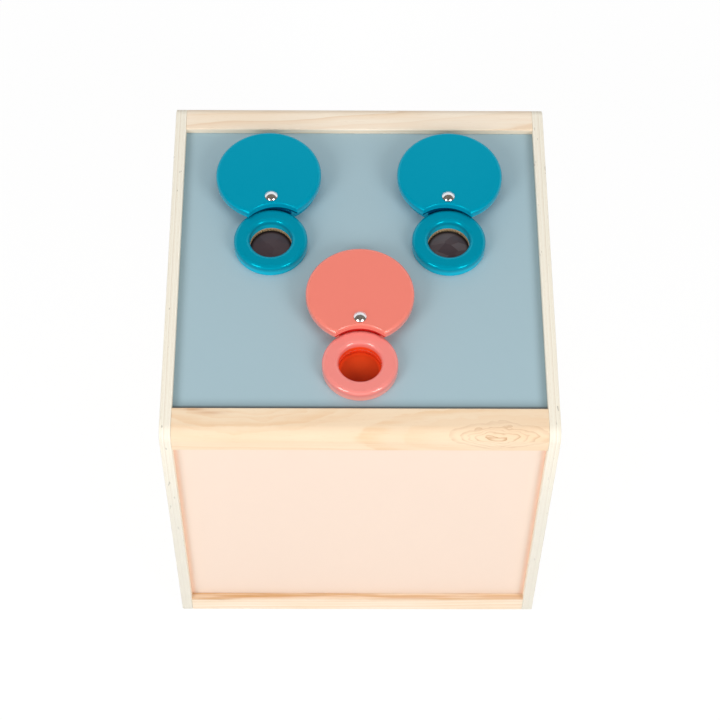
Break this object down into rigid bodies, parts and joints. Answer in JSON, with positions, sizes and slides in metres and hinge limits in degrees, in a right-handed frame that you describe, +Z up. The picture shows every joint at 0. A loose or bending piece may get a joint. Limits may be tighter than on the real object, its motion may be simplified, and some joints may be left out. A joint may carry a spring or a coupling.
{
  "type": "sensory box",
  "caption": "Wooden sensory box with ring peepholes in its top, each over a tinted window and with a notched round cover that swivels across it on a domed bolt.",
  "frame": {"origin": "middle of the box's footprint, on the surface it stands on", "axes": "+Z up, front panel towards -Y, +X to the right seen from the front"},
  "size_m": [0.3, 0.314, 0.3106],
  "materials": {
    "pine": "clear-coated pine, fine open grain",
    "birch_ply": "clear-coated birch plywood",
    "blue_grey_paint": "satin paint on fibreboard",
    "peach_paint": "satin paint on fibreboard",
    "teal_paint": "satin paint on wood",
    "coral_paint": "satin paint on wood",
    "raw_board": "bare fibreboard",
    "smoke_acrylic": "polished",
    "orange_acrylic": "polished",
    "bright_steel": "polished",
    "zinc_steel": "zinc plated",
    "beech": "bare wood",
    "nylon": "matte"
  },
  "bodies": {
    "box": {"left_side_panel": "birch_ply", "right_side_panel": "birch_ply", "top_front_rail": "pine", "top_back_rail": "pine", "bottom_front_rail": "pine", "bottom_back_rail": "pine", "top_panel": "blue_grey_paint", "front_panel": "peach_paint", "back_panel": "peach_paint", "bottom_panel": "birch_ply", "left_side_screws": "zinc_steel", "right_side_screws": "zinc_steel", "left_dowels": "beech", "right_dowels": "beech", "left_ring": "teal_paint", "right_ring": "teal_paint", "centre_ring": "coral_paint", "left_window": "smoke_acrylic", "right_window": "smoke_acrylic", "centre_window": "orange_acrylic", "left_window_retainer": "raw_board", "right_window_retainer": "raw_board", "centre_window_retainer": "raw_board", "ring_screws": "zinc_steel", "left_cover_base": "teal_paint", "right_cover_base": "teal_paint", "centre_cover_base": "coral_paint", "left_pivot_bolt": "bright_steel", "right_pivot_bolt": "bright_steel", "centre_pivot_bolt": "bright_steel", "slip_washers": "nylon", "pivot_washers": "zinc_steel", "pivot_nuts": "zinc_steel"},
    "left_swivel": {"left_cover": "teal_paint"},
    "right_swivel": {"right_cover": "teal_paint"},
    "centre_swivel": {"centre_cover": "coral_paint"}
  },
  "joints": [
    {"name": "left_cover_swivel", "type": "hinge", "parent": "box", "child": "left_swivel", "pos_m": [-0.07, 0.0555, 0.301], "axis": [0, 0, 1], "range_deg": [-180, 180]},
    {"name": "right_cover_swivel", "type": "hinge", "parent": "box", "child": "right_swivel", "pos_m": [0.07, 0.0555, 0.301], "axis": [0, 0, 1], "range_deg": [-180, 180]},
    {"name": "centre_cover_swivel", "type": "hinge", "parent": "box", "child": "centre_swivel", "pos_m": [0, -0.0586, 0.301], "axis": [0, 0, 1], "range_deg": [-180, 180]}
  ]
}
